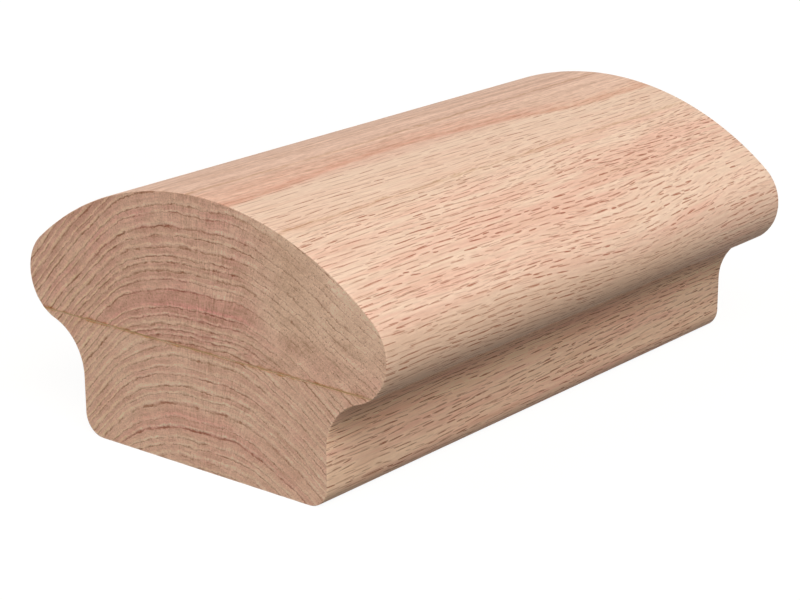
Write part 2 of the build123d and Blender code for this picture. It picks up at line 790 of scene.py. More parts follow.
@dataclass(frozen=True)
class RingSpot:
    """What is known of a point on a board's sawn end, in millimetres.

    Attributes:
        x, z: its place in the section.
        across: its distance along its ring.
        level: its ring's height over the heart.
        phase: the share of its ring that lies below it.
        above: its height over the start of its ring.
        strength, redness, late: three random values of its ring, from 0 to 1.
        left, right: its share of the left flank and of the sandy part on the right.
        seed: the board's.
    """

    x: Wire
    z: Wire
    across: Wire
    level: Wire
    phase: Wire
    above: Wire
    strength: Wire
    redness: Wire
    late: Wire
    left: Wire
    right: Wire
    seed: float


@dataclass(frozen=True)
class EndGrain:
    """Sawn end of a board: rings as dark dotted lines with a pale line above, crossed by fine rays.

    Attributes:
        name: the material's name.
        wood, rosy, last: early, rosy and dense last wood.
        pale: the pale line outside each row of pores.
        rosy_level, rosy_reach: height over the heart at which the wood is reddest, and how far that goes.
        rosy_width: how far it goes to each side.
        pale_level, pale_reach: the same for the pale lines.
        pore: what the open pores multiply the wood by.
        golden: the pale lines' tone on the left flank.
        sand: even tan wood high up on the right.
        sand_rise: height where it begins, and where it is full.
        dull: darker patch in it, above the joint.
        left_flank, right_flank: x at which each flank begins, and at which it is full.
        rays_at, rays_reach: x at which the fine rays are clearest, and how far they stay so.
        sandy: how far the rings fade into an even sandy figure on the right, from 0 to 1.
        clear: how clearly the rings show, from 0 to 1.
        lift: how much paler the wood is left of the sandy part, as a share.
        soak: what the wood is multiplied by where glue soaked into it.
        soak_height, soak_reach: height of the joint, and how far the glue went.
        gloss: specular level of sawn wood.
        relief: depth of the rays and pores, in metres.
    """

    name: str
    wood: Colour
    rosy: Colour
    last: Colour
    pale: Colour
    rosy_level: float
    rosy_reach: float
    pale_level: float
    pale_reach: float
    pore: Colour = paint(186, 156, 142)
    golden: Colour = paint(255, 226, 182)
    rosy_width: float = 17.0
    sand: Colour = paint(246, 207, 176)
    sand_rise: tuple[float, float] = (19.0, 27.0)
    dull: Blush = Blush(17.0, 21.5, 8.0, 3.6, 0.07)
    left_flank: tuple[float, float] = (-9.0, -20.0)
    right_flank: tuple[float, float] = (7.0, 18.0)
    rays_at: float = 3.0
    rays_reach: float = 9.0
    sandy: float = 1.0
    clear: float = 1.0
    lift: float = 0.05
    soak: Colour = paint(226, 196, 158)
    soak_height: float = 18.35
    soak_reach: float = 0.24
    gloss: float = 0.12
    relief: float = 0.06 * MM

    def spot(self, bench: Bench, rings: GrowthRings) -> RingSpot:
        """Finds a point's ring, from its level, which noise bends and makes ragged."""
        x, y, z = bench.place()
        slow = RING_BEND.at(bench, x, z, rings.seed) * 0.45
        ragged = RAGGED_RING.at(bench, x, z, rings.seed) * 0.50
        level = rings.level(x, y, z) + slow + ragged
        count = rings.count(level)
        phase = part_of(count)
        strength, redness, late = bench.dice(whole(count), rings.seed, 1.5)
        return RingSpot(
            x=x, z=z, across=rings.across(x, z), level=level, phase=phase, above=phase / rings.pace(level),
            strength=strength, redness=redness, late=late,
            left=ramp(x, *self.left_flank), right=ramp(x, *self.right_flank) * self.sandy, seed=rings.seed,
        )

    def timber(self, bench: Bench, spot: RingSpot) -> Wire:
        """Colour without pores and pale lines: reddest over the heart, and denser at each ring's end."""
        blotch = BLOTCHES.at(bench, spot.x, spot.z, spot.seed)
        band = bump_at(spot.level, self.rosy_level, self.rosy_reach) * bump_at(spot.x, 0.0, self.rosy_width)
        rosy = band + (spot.redness - 0.5) * 0.7
        rosiness = ramp(rosy + blotch, -0.2, 0.9) * (1.0 - spot.right * 0.6)
        colour = bench.blend(self.wood, self.rosy, rosiness)
        dense = ramp(spot.phase, 0.36, 0.70) * (0.45 + 0.55 * spot.late) * (1.0 - spot.right * 0.5)
        colour = bench.blend(colour, self.last, smaller(dense * (0.9 + blotch * 1.2), 1.0))
        return bench.blend(colour, self.sand, spot.right * ramp(spot.z, *self.sand_rise) * 0.8)

    def pale_line(self, spot: RingSpot) -> Wire:
        """How much a point belongs to the pale line above a row of pores, clearest at one level."""
        shown = 0.60 + bump_at(spot.level, self.pale_level, self.pale_reach) * 0.40
        shown = shown * (1.0 - spot.right * 0.7) * self.clear
        return bump_at(spot.above, 0.48, spot.left * 0.07 + 0.15) * (0.4 + 0.6 * spot.redness) * shown

    @staticmethod
    def pore_row(bench: Bench, spot: RingSpot) -> Wire:
        """How much a point belongs to the dotted row of pores that opens a ring, with a fainter one above."""
        dots = DOTS.at(bench, spot.across, spot.level, spot.seed)
        row = bump_at(spot.above, 0.12, spot.left * 0.05 + 0.11) + bump_at(spot.above, 0.24, 0.20) * 0.3
        open_share = 1.0 - spot.right * 0.4 - spot.left * 0.1
        return row * (0.70 + 0.30 * ramp(dots, -0.3, 0.35)) * (0.6 + 0.4 * spot.strength) * open_share

    def lift_by(self, bench: Bench, spot: RingSpot, cloud: Wire) -> Wire:
        """How much lighter a point is than its wood, but for the rays and specks.

        Args:
            bench: the material's bench.
            spot: the point.
            cloud: the wood's small clouds there.

        Returns:
            A share, negative where the wood is darker: on the right it is even, paler high up, and dull
            near the joint.
        """
        shadow = SHADOWS.at(bench, spot.across, spot.level, spot.seed)
        layers = LAYERS.at(bench, spot.across, spot.level, spot.seed)
        uneven = cloud * 0.25 + layers * (0.40 - spot.right * 0.2) + shadow * (0.15 + spot.right * 0.45)
        sandy_lift = spot.right * (ramp(spot.z, 19.0, 25.0) * 0.04 - self.dull.share(spot.x, spot.z))
        return uneven + self.lift * (1.0 - spot.right) + sandy_lift

    def dress(self, rings: GrowthRings) -> bpy.types.Material:
        """Builds the material for a board with these rings.

        Each ring has a dark row of pores at its start, a pale line just above it and denser wood at its end.
        The glue darkened the wood at the joint, and fine rays cross everything.

        Args:
            rings: the board's rings.

        Returns:
            The material.
        """
        bench = Bench(self.name)
        spot = self.spot(bench, rings)
        colour = self.timber(bench, spot)
        fading = 0.90 + FADING.at(bench, spot.across, spot.level, spot.seed) * 2.2
        pale = smaller(larger(self.pale_line(spot) * fading, 0.0), 1.0) * 0.85
        colour = bench.blend(colour, bench.blend(self.pale, self.golden, spot.left), pale)

        pores = self.pore_row(bench, spot)
        pits = ramp(PITS.at(bench, spot.x, spot.z, spot.seed), 0.16, 0.36) * (0.40 + spot.right * 0.2)
        dark = larger(pores * fading, 0.0) * self.clear + pits
        colour = bench.blend(colour, self.pore, smaller(dark, 1.0), "MULTIPLY")

        cloud = CLOUDS.at(bench, spot.x, spot.z, spot.seed)
        seeping = 0.8 + SEEPING.at(bench, spot.x, 0.3, spot.seed) * 2.6
        soaked = bump_at(spot.z + cloud * 0.5, self.soak_height, self.soak_reach) * seeping
        colour = bench.blend(colour, self.soak, smaller(larger(soaked, 0.0), 1.0), "MULTIPLY")

        rays = FINE_RAYS.at(bench, spot.across, spot.level, spot.seed)
        speck = SPECKS.at(bench, spot.x, spot.z, spot.seed)
        crossing = rays * (0.4 + bump_at(spot.x, self.rays_at, self.rays_reach)) * 0.40
        colour = bench.tone(colour, crossing + speck * 0.50 + self.lift_by(bench, spot, cloud))

        height = 0.5 + rays * 0.3 + speck * 0.3 - dark * 0.4
        return bench.finish(colour, 0.78 + pores * 0.1, height, self.relief, self.gloss)


@dataclass(frozen=True)
class CuredGlue:
    """Cured glue film: yellowish brown, broken up by wood fibres that cross it.

    Attributes:
        name: the material's name.
        glue, fibre: its two tones.
        gloss: specular level.
        relief: depth of its grain, in metres.
    """

    name: str = "cured_glue"
    glue: Colour = paint(198, 156, 104)
    fibre: Colour = paint(216, 176, 140)
    gloss: float = 0.35
    relief: float = 0.02 * MM

    def dress(self) -> bpy.types.Material:
        """Builds the material."""
        bench = Bench(self.name)
        x, y, z = bench.place()
        breaks = bench.noise(x / 2.6, y / 2.6, 3.0, 3.0, 0.6)
        grain = bench.noise(x / 0.3, y / 0.3, z / 0.1, 2.0)
        colour = bench.blend(self.glue, self.fibre, ramp(breaks, -0.15, 0.25))
        colour = bench.tone(colour, grain * 0.2)
        return bench.finish(colour, 0.45 + breaks * 0.1, 0.5 + grain * 0.5, self.relief, self.gloss)


def walk(line: np.ndarray) -> np.ndarray:
    """Distance walked to each point of a line: the running sum of its steps."""
    return np.concatenate([[0.0], np.cumsum(np.hypot(*np.diff(line[:, :2], axis=0).T))])


@dataclass(frozen=True)
class MouldedSection:
    """Right-hand half of the rail's section, in metres: arcs that run into each other.

    Attributes:
        width, height: overall.
        crown_radius: of the arched top.
        roll_radius: of the rounded edge under the crown.
        cove_radius: of the hollow for the fingertips.
        foot_width: across the foot's upright sides.
        foot_edge_radius: of the foot's lower corners.
        samples: points to an arc.
    """

    width: float
    height: float
    crown_radius: float = 50.2 * MM
    roll_radius: float = 7.25 * MM
    cove_radius: float = 8.4 * MM
    foot_width: float = 48.2 * MM
    foot_edge_radius: float = 3.5 * MM
    samples: int = 2000

    def arc(
        self, centre: tuple[float, float], radius: float, start: float, end: float, side: float
    ) -> np.ndarray:
        """Points of an arc with the outward direction at each.

        A point is the centre plus radius times (sine, cosine) of an angle that runs evenly from start to end.

        Args:
            centre: x and z of the centre.
            radius: of the arc.
            start: first angle from straight up, in radians.
            end: last angle.
            side: 1 where the wood lies inside the arc, and -1 where it lies outside.

        Returns:
            Rows of x, z, outward x and outward z.
        """
        angle = np.linspace(start, end, self.samples)
        out = np.stack([np.sin(angle), np.cos(angle)], axis=1)
        return np.concatenate([np.array(centre) + radius * out, side * out], axis=1)

    def half_outline(self) -> np.ndarray:
        """The right-hand half from the crown's top to the end of the foot's corner, as arc() gives it.

        The roll touches the crown from inside, the cove touches the roll from outside, and the foot's upright
        side touches the cove, so each centre follows from the radii by Pythagoras.
        """
        crown_z = self.height - self.crown_radius
        roll_x = self.width / 2 - self.roll_radius
        roll_z = crown_z + math.sqrt((self.crown_radius - self.roll_radius) ** 2 - roll_x**2)
        cove_x = self.foot_width / 2 + self.cove_radius
        cove_z = roll_z - math.sqrt((self.roll_radius + self.cove_radius) ** 2 - (cove_x - roll_x) ** 2)
        corner_x = self.foot_width / 2 - self.foot_edge_radius
        into_roll = math.atan2(roll_x, roll_z - crown_z)
        into_cove = math.atan2(cove_x - roll_x, cove_z - roll_z)
        pieces = [
            self.arc((0.0, crown_z), self.crown_radius, 0.0, into_roll, 1.0),
            self.arc((roll_x, roll_z), self.roll_radius, into_roll, into_cove, 1.0),
            self.arc((cove_x, cove_z), self.cove_radius, into_cove - math.pi, -math.pi / 2, -1.0),
            self.arc((corner_x, self.foot_edge_radius), self.foot_edge_radius, math.pi / 2, math.pi, 1.0),
        ]
        return np.concatenate(pieces)

    def side(self, low: float, high: float, crown_share: float, count: int) -> np.ndarray:
        """Right-hand side of a board from its lower edge upwards, in steps of even length.

        Args:
            low: height of the lower edge.
            high: height of the upper edge; above the crown's own, the side stops at crown_share.
            crown_share: share of the half width at which the crown begins to count as the board's top.
            count: number of steps.

        Returns:
            count + 1 rows, as arc() gives them.
        """
        outline = self.half_outline()[::-1]
        keep = (outline[:, 1] >= low) & (outline[:, 1] <= high)
        keep &= (outline[:, 1] < self.height / 2) | (outline[:, 0] >= crown_share * self.width / 2)
        kept = outline[keep]
        edge = np.array([[np.interp(h, kept[:, 1], column) for column in kept.T] for h in (low, high)])
        if low > kept[0, 1] - self.roll_radius and low > 0:
            kept = np.concatenate([edge[:1], kept])
        if high < self.height / 2:
            kept = np.concatenate([kept, edge[1:]])
        walked = walk(kept)
        even = np.linspace(0.0, walked[-1], count + 1)
        return np.stack([np.interp(even, walked, column) for column in kept.T], axis=1)

    def way_down(self, height: float) -> float:
        """Distance from the crown's top round the right-hand side down to a height, below the crown."""
        outline = self.half_outline()
        return float(np.interp(height, outline[::-1, 1], walk(outline)[::-1]))

    def top(self, reach: float, count: int) -> np.ndarray:
        """The crown from -reach to reach, left to right, as arc() gives it."""
        angle = np.linspace(-1.0, 1.0, count + 1) * math.asin(reach / self.crown_radius)
        out = np.stack([np.sin(angle), np.cos(angle)], axis=1)
        centre = np.array([0.0, self.height - self.crown_radius])
        return np.concatenate([centre + self.crown_radius * out, out], axis=1)


def patch(bottom: np.ndarray, top: np.ndarray, left: np.ndarray, right: np.ndarray) -> np.ndarray:
    """Fills four edges with a grid, as a blended sheet.

    A point is the mix of the two edges above and below it, plus the mix of the two beside it, less the mix of
    the four corners, so the grid's border lies exactly on the edges.

    Args:
        bottom: points from left to right.
        top: the same, above.
        left: points from bottom to top.
        right: the same, on the right.

    Returns:
        An array of rows, columns and two coordinates.
    """
    u = np.linspace(0.0, 1.0, len(bottom))[None, :, None]
    v = np.linspace(0.0, 1.0, len(left))[:, None, None]
    across = (1 - v) * bottom[None] + v * top[None]
    upward = (1 - u) * left[:, None] + u * right[:, None]
    corners = (1 - v) * ((1 - u) * bottom[0] + u * bottom[-1]) + v * ((1 - u) * top[0] + u * top[-1])
    return across + upward - corners


def mirrored(edge: np.ndarray) -> np.ndarray:
    """The same edge on the left-hand side."""
    return edge * np.array([-1.0, 1.0, -1.0, 1.0])


class Edge(Enum):
    """What an edge of a board's section is."""

    JOINT = "glued joint"
    CROWN = "moulded crown"
    UNDERSIDE = "flat underside"


@dataclass
class Block:
    """A length of one section with sawn ends: a board, or the film between two.

    Attributes:
        name: the piece's name.
        node: the solid that it stands for.
        slot: the record's slot for its finish; not used.
        section: the rail's section.
        low, high: heights of its lower and upper edge.
        below, above: what those edges are.
        length: along the rail.
        columns, rows, steps: of the mesh across, up and along.
        arris: radius of the worn edge between a long face and an end.
        recess: how far the piece lies behind the moulded outline and the sawn ends.
        crown_share: share of the half width at which the crown begins to count as the board's top.
        round_steps: steps round the worn edge.
    """

    name: str
    node: str
    slot: str
    section: MouldedSection
    low: float
    high: float
    below: Edge
    above: Edge
    length: float
    columns: int = 190
    rows: int = 64
    steps: int = 72
    arris: float = 0.12 * MM
    recess: float = 0.0

    crown_share: ClassVar[float] = 0.52
    round_steps: ClassVar[int] = 4

    def border(self) -> tuple[np.ndarray, np.ndarray, np.ndarray, np.ndarray]:
        """The section's bottom, top, left and right edge, each with outward directions."""
        right = self.section.side(self.low, self.high, self.crown_share, self.rows)
        if self.below is not Edge.UNDERSIDE:
            right[0, 3] = 0.0
        if self.above is not Edge.CROWN:
            right[-1, 3] = 0.0
        left = mirrored(right)
        u = np.linspace(0.0, 1.0, self.columns + 1)[:, None]
        bottom = (1 - u) * left[0] + u * right[0]
        bottom[1:-1, 2] = 0.0
        if self.below is Edge.JOINT:
            bottom[1:-1, 2:] = 0.0
        if self.below is Edge.UNDERSIDE:
            bottom[:, 3] = -1.0
        top = (1 - u) * left[-1] + u * right[-1]
        top[1:-1, 2:] = 0.0
        if self.above is Edge.CROWN:
            top = self.section.top(right[-1, 0], self.columns)
        return bottom, top, left, right

    def ring(self) -> np.ndarray:
        """The four edges as one closed loop, counter-clockwise as seen from the near end."""
        bottom, top, left, right = self.border()
        return np.concatenate([bottom[:-1], right[:-1], top[:0:-1], left[:0:-1]])

    def girth(self) -> np.ndarray:
        """Distance round the section, clockwise from the crown's top, at each point of the closed loop.

        It is the walk round the loop counted backwards from the crown's top, or from the joint's right-hand
        corner, and a whole turn more past that corner, so the wood's figure runs on from board to board.
        """
        loop = self.ring()
        walked = walk(np.concatenate([loop, loop[:1]]))
        corner = self.columns + self.rows
        if self.above is Edge.CROWN:
            return walked[corner + self.columns // 2] - walked
        past = np.arange(len(walked)) > corner
        return self.section.way_down(self.high) + walked[corner] - walked + past * walked[-1]

    def stations(self) -> tuple[np.ndarray, np.ndarray]:
        """Places along the rail, and how far the outline lies inside the full one at each of them."""
        turn = np.linspace(0.0, math.pi / 2, self.round_steps + 1)
        half = self.length / 2 - self.recess
        near = -half + self.arris * (1 - np.cos(turn))
        middle = np.linspace(near[-1], -near[-1], self.steps + 1)[1:-1]
        inside = self.arris * (1 - np.sin(turn))
        places = np.concatenate([near, middle, -near[::-1]])
        insets = np.concatenate([inside, np.zeros(len(middle)), inside[::-1]])
        return places, insets + self.recess

    def long_relief(self, points: np.ndarray) -> np.ndarray:
        """Depth of the relief on the long faces at rows of x, y and z, in metres."""
        return np.zeros(len(points))

    def end_relief(self, points: np.ndarray) -> np.ndarray:
        """Depth of the relief on the ends at rows of x, y and z, in metres."""
        return np.zeros(len(points))

    def skin(self, places: np.ndarray, insets: np.ndarray) -> np.ndarray:
        """Carries the closed loop along the rail, sunk by the long faces' relief between the two ends.

        Args:
            places: where it stands along the rail.
            insets: how far it lies inside the full outline at each place.

        Returns:
            Rows of x, y and z, loop after loop.
        """
        loop = self.ring()
        flat = loop[None, :, :2] - insets[:, None, None] * loop[None, :, 2:]
        along = np.broadcast_to(places[:, None], flat.shape[:2])
        skin = np.stack([flat[..., 0], along, flat[..., 1]], axis=2)
        depth = self.long_relief(skin.reshape(-1, 3)).reshape(skin.shape[:2])
        depth[[0, -1]] = 0.0
        skin[..., 0] -= depth * loop[None, :, 2]
        skin[..., 2] -= depth * loop[None, :, 3]
        return skin.reshape(-1, 3)

    def lid(self, place: float, inset: float, outward: float) -> np.ndarray:
        """Inner points of the sheet that fills an end, sunk by the end's relief.

        Args:
            place: of the end along the rail.
            inset: how far its border lies inside the full outline.
            outward: -1 at the near end and 1 at the far one.

        Returns:
            Rows of x, y and z.
        """
        edges = [edge[:, :2] - inset * edge[:, 2:] for edge in self.border()]
        inner = patch(*edges)[1:-1, 1:-1]
        station = np.full(inner.shape[:2], place)
        points = np.stack([inner[..., 0], station, inner[..., 1]], axis=2).reshape(-1, 3)
        points[:, 1] -= outward * self.end_relief(points)
        return points

    def quads(self, total: int) -> tuple[np.ndarray, np.ndarray]:
        """Joins the points into four-sided faces.

        Args:
            total: number of places along the rail at which the loop stands.

        Returns:
            Rows of four point numbers, first for the long faces and then for both ends.
        """
        count = 2 * (self.columns + self.rows)
        k = np.arange(count)
        j = np.arange(total - 1)[:, None]
        near, far = j * count, (j + 1) * count
        after = (k + 1) % count
        long_faces = np.stack([near + k, far + k, far + after, near + after], axis=2).reshape(-1, 4)

        inner = (self.rows - 1) * (self.columns - 1)
        lids = []
        for number, first in enumerate((0, (total - 1) * count)):
            index = self.lid_index(first, total * count + number * inner)
            corners = [index[:-1, :-1], index[:-1, 1:], index[1:, 1:], index[1:, :-1]]
            quads = np.stack(corners, axis=2).reshape(-1, 4)
            lids.append(quads if number == 0 else quads[:, ::-1])
        return long_faces, np.concatenate(lids)

    def surface(self) -> tuple[np.ndarray, np.ndarray, np.ndarray, np.ndarray]:
        """Works out the whole skin: the loop carried along the rail, closed at each end by a filled sheet.

        Its map gives the distance round the section and along the rail on the long faces, and x and z on the
        ends.

        Returns:
            Points, four-sided faces, for each face whether it belongs to an end, and the map at the faces'
            corners.
        """
        places, insets = self.stations()
        lids = [self.lid(places[end], insets[end], outward) for end, outward in ((0, -1.0), (-1, 1.0))]
        points = np.concatenate([self.skin(places, insets), *lids])
        long_faces, end_faces = self.quads(len(places))
        faces = np.concatenate([long_faces, end_faces])
        is_end = np.arange(len(faces)) >= len(long_faces)

        girth = self.girth()
        sides = np.stack([girth[:-1], girth[:-1], girth[1:], girth[1:]], axis=1)[None]
        ends = np.stack([places[:-1], places[1:], places[1:], places[:-1]], axis=1)[:, None]
        long_map = np.stack(np.broadcast_arrays(sides, ends), axis=3).reshape(-1, 2)
        end_map = points[end_faces][..., [0, 2]].reshape(-1, 2)
        return points, faces, is_end, np.concatenate([long_map, end_map])

    def lid_index(self, first: int, inner: int) -> np.ndarray:
        """Numbers the points of an end's sheet, whose border is shared with the loop.

        Args:
            first: number of the loop's first point.
            inner: number of the sheet's first inner point.

        Returns:
            A grid of point numbers.
        """
        m, n = self.rows, self.columns
        index = np.zeros((m + 1, n + 1), int)
        index[1:-1, 1:-1] = inner + np.arange((m - 1) * (n - 1)).reshape(m - 1, n - 1)
        index[0, :-1] = first + np.arange(n)
        index[:-1, -1] = first + n + np.arange(m)
        index[-1, :0:-1] = first + n + m + np.arange(n)
        index[:0:-1, 0] = first + 2 * n + m + np.arange(m)
        return index

    def build(self) -> bpy.types.Object:
        """Makes the mesh object, at the origin, with its ends in the second material slot."""
        points, faces, is_end, grain = self.surface()
        mesh = bpy.data.meshes.new(self.name)
        mesh.from_pydata(points, [], faces.tolist())
        mesh.polygons.foreach_set("material_index", is_end.astype(np.int32))
        mesh.polygons.foreach_set("use_smooth", np.ones(len(faces), bool))
        mesh.uv_layers.new(name=GRAIN_MAP).uv.foreach_set("vector", grain.astype(np.float32).ravel())
        self.crease(mesh)
        mesh.update()
        return place_object(self.name, mesh)

    def crease(self, mesh: bpy.types.Mesh) -> None:
        """Marks the edge between each end and its worn arris, and the joint's corners, as sharp."""
        count = 2 * (self.columns + self.rows)
        total = len(self.stations()[0])
        pairs = np.zeros(len(mesh.edges) * 2, np.int32)
        mesh.edges.foreach_get("vertices", pairs)
        pairs = pairs.reshape(-1, 2)
        on_skin = (pairs < total * count).all(axis=1)
        station, place = pairs // count, pairs % count
        around = (station[:, 0] == station[:, 1]) & np.isin(station[:, 0], [0, total - 1])
        corners = []
        if self.below is Edge.JOINT:
            corners += [0, self.columns]
        if self.above is Edge.JOINT:
            corners += [self.columns + self.rows, 2 * self.columns + self.rows]
        lengthwise = (place[:, 0] == place[:, 1]) & np.isin(place[:, 0], corners)
        sharp = mesh.attributes.new("sharp_edge", "BOOLEAN", "EDGE")
        sharp.data.foreach_set("value", on_skin & (around | lengthwise))

    def seat(self, piece: bpy.types.Object) -> None:
        """Fixes the piece to the rail in place of its solid."""
        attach(piece, "root")
        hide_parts(self.node)


@dataclass(kw_only=True)
class Board(Block):
    """An oak board with its rings: fine relief on every face, planed long faces and sawn ends.

    Attributes:
        rings: its growth rings.
        face, end: finish of its long faces and of its sawn ends.
        ring_depth: of the rings' furrows.
        saw_depth, saw_pitch: of the saw's arcs.
        saw_hub, saw_radius: x and z of the blade's middle, and its radius.
    """

    rings: GrowthRings
    face: LongGrain
    end: EndGrain
    ring_depth: float = 0.012 * MM
    saw_depth: float = 0.010 * MM
    saw_pitch: float = 1.9 * MM
    saw_hub: tuple[float, float] = (-60.0 * MM, 170.0 * MM)
    saw_radius: float = 150.0 * MM

    def long_relief(self, points: np.ndarray) -> np.ndarray:
        """Rings stand as shallow furrows on the planed faces."""
        return self.ring_depth * self.rings.groove(*(points.T / MM))

    def end_relief(self, points: np.ndarray) -> np.ndarray:
        """The rings' furrows with a round saw's even arcs: a sine of the distance from its hub."""
        across, up = self.saw_hub
        reach = np.hypot(points[:, 0] - across, points[:, 2] - up) - self.saw_radius
        arcs = 0.5 + 0.5 * np.sin(reach * 2 * math.pi / self.saw_pitch)
        return self.ring_depth * self.rings.groove(*(points.T / MM)) + self.saw_depth * arcs

    def dress(self, piece: bpy.types.Object) -> None:
        """Gives the long faces and the ends their wood."""
        piece.data.materials.append(self.face.dress(self.rings))
        piece.data.materials.append(self.end.dress(self.rings))


@dataclass
class GlueFilm(Block):
    """The cured film between the boards, a hair behind their faces and uneven along its edge.

    Attributes:
        finish: of its faces and ends.
        ebb: how far it lies back at most, besides its recess.
    """

    finish: CuredGlue = CuredGlue()
    ebb: float = 0.02 * MM

    def long_relief(self, points: np.ndarray) -> np.ndarray:
        """Slow waves along the rail, which the plane left where the glue was soft."""
        y = points[:, 1] / MM
        return self.ebb * (0.5 + 0.25 * np.sin(y / 3.1) + 0.25 * np.sin(y / 1.3 + 1.0))

    def dress(self, piece: bpy.types.Object) -> None:
        """Gives the film its one finish, on the faces and the ends."""
        material = self.finish.dress()
        piece.data.materials.append(material)
        piece.data.materials.append(material)


@dataclass(frozen=True)
class Camera:
    """The photograph's view, in metres and degrees: where the camera stands and which way it looks.

    Attributes:
        place: where it stands.
        yaw, pitch, roll: how it is turned.
        lens, sensor: focal length and sensor width, in millimetres.
        nearest: distance from which it sees.
    """

    place: tuple[float, float, float] = (0.21642, -0.26945, 0.12460)
    yaw: float = 39.338
    pitch: float = -17.876
    roll: float = -0.261
    lens: float = 102.44
    sensor: float = 36.0
    nearest: float = 0.01

    def stand(self) -> None:
        """Puts the camera up."""
        data = bpy.data.cameras.new("camera")
        data.sensor_width = self.sensor
        data.lens = self.lens
        data.clip_start = self.nearest
        camera = place_object("camera", data)
        turn = Matrix.Rotation(math.radians(self.yaw), 4, "Z")
        turn @= Matrix.Rotation(math.radians(90 + self.pitch), 4, "X")
        turn @= Matrix.Rotation(math.radians(self.roll), 4, "Z")
        camera.matrix_world = Matrix.Translation(self.place) @ turn
        bpy.context.scene.camera = camera


@dataclass(frozen=True)
class Lamp:
    """A square soft lamp that faces the rail, in metres.

    Attributes:
        name: of the lamp.
        way: direction from the rail towards it.
        distance, size: how far off it hangs, and its side.
        share: light that it puts on a face turned to it, where 1 renders a colour as written.
        glints: whether it shows in the wood's faint sheen.
        aim: height over the floor that it faces.
    """

    name: str
    way: tuple[float, float, float]
    distance: float
    size: float
    share: float
    glints: bool = True
    aim: float = 0.02

    def hang(self) -> None:
        """Hangs the lamp."""
        data = bpy.data.lights.new(self.name, "AREA")
        data.shape = "SQUARE"
        data.size = self.size
        data.energy = self.share * math.pi**2 * self.distance**2
        holder = place_object(self.name, data)
        holder.visible_glossy = self.glints
        way = Vector(self.way).normalized()
        turn = way.to_track_quat("Z", "Y").to_matrix().to_4x4()
        place = Vector((0.0, 0.0, self.aim)) + way * self.distance
        holder.matrix_world = Matrix.Translation(place) @ turn


@dataclass(frozen=True)
class Studio:
    """Plain light and a pale floor.

    Attributes:
        lamps: a large one above the right shoulder of the view, a weaker one above its left, and a low one
            behind the rail for the sides that the view doesn't see.
        sky_share: light from all round.
        floor_tone: how much light the floor gives back, in red, green and blue.
        floor_glow: what the camera sees of the floor besides that, under the rail.
        glow_near, glow_far: where that begins to rise to full white, and where it is, in millimetres.
        floor_half: half the floor's side.
        floor_gap: how far the floor lies below the rail, so that the two don't coincide.
    """

    lamps: tuple[Lamp, ...] = (
        Lamp("key", (0.62, -0.40, 0.67), 2.0, 1.4, 0.97),
        Lamp("fill", (-0.25, -0.60, 0.76), 2.0, 1.1, 0.22),
        Lamp("back", (-0.76, 0.64, 0.11), 2.0, 0.42, 0.18, glints=False),
    )
    sky_share: float = 0.055
    floor_tone: Colour = (0.12, 0.105, 0.085)
    floor_glow: float = 0.94
    glow_near: float = 120.0
    glow_far: float = 600.0
    floor_half: float = 3.0
    floor_gap: float = 0.02 * MM

    @staticmethod
    def seen(bench: Bench) -> Wire:
        """Gives 1 to rays that see the background directly, mirrored or through glass, and 0 to the rest."""
        path = bench.node("ShaderNodeLightPath", {}, {})
        kinds = [Wire(bench, path.outputs[f"Is {kind} Ray"]) for kind in ("Camera", "Glossy", "Transmission")]
        return larger(larger(kinds[0], kinds[1]), kinds[2])

    def light(self) -> None:
        """Hangs the lamps and sets the world."""
        for lamp in self.lamps:
            lamp.hang()
        world = bpy.data.worlds.new("studio")
        world.use_nodes = True
        bench = Bench("sky", world.node_tree)
        strength = self.seen(bench) * (1.0 - self.sky_share) + self.sky_share
        sky = bench.node("ShaderNodeBackground", {}, {"Color": (1.0, 1.0, 1.0, 1.0), "Strength": strength})
        bench.node("ShaderNodeOutputWorld", {}, {0: sky.outputs[0]})
        bpy.context.scene.world = world

    def lay_floor(self, height: float) -> None:
        """Lays the floor under the rail: white all over, and a little grey in the rail's shadow."""
        half = self.floor_half
        z = height - self.floor_gap
        mesh = bpy.data.meshes.new("floor")
        corners = [(a * half, b * half, z) for a, b in ((-1, -1), (1, -1), (1, 1), (-1, 1))]
        mesh.from_pydata(corners, [], [(0, 1, 2, 3)])
        floor = place_object("floor", mesh)
        bench = Bench("floor")
        x, y, _ = bench.place()
        far = ramp(root(x * x + y * y), self.glow_near, self.glow_far)
        glow = self.seen(bench) * (far * (1.0 - self.floor_glow) + self.floor_glow)
        dull = bench.node("ShaderNodeBsdfDiffuse", {}, {"Color": (*self.floor_tone, 1.0)})
        light = bench.node("ShaderNodeEmission", {}, {"Color": (1.0, 1.0, 1.0, 1.0), "Strength": glow})
        both = bench.node("ShaderNodeAddShader", {}, {0: dull.outputs[0], 1: light.outputs[0]})
        bench.node("ShaderNodeOutputMaterial", {}, {0: both.outputs[0]})
        mesh.materials.append(bench.material)


UPPER_RINGS = GrowthRings(
    pith_across=-1.0,
    pith_height=2.0,
    ray_radius=41.0,
    left_knee=14.3,
    right_knee=11.5,
    left_round=7.8,
    right_round=5.0,
    left_slope=1.1,
    right_slope=0.58,
    rate=1.05,
    first=0.90,
    years=((24.6, -0.65), (29.4, 0.53), (33.2, -0.30)),
    seed=0.7,
)
LOWER_RINGS = GrowthRings(
    pith_across=-1.0,
    pith_height=-17.0,
    ray_radius=34.0,
    left_knee=13.0,
    right_knee=10.8,
    left_round=8.0,
    right_round=6.0,
    left_slope=1.2,
    right_slope=0.72,
    rate=0.71,
    first=0.6,
    years=((9.2, -0.30), (11.4, 0.28)),
    seed=2.9,
)
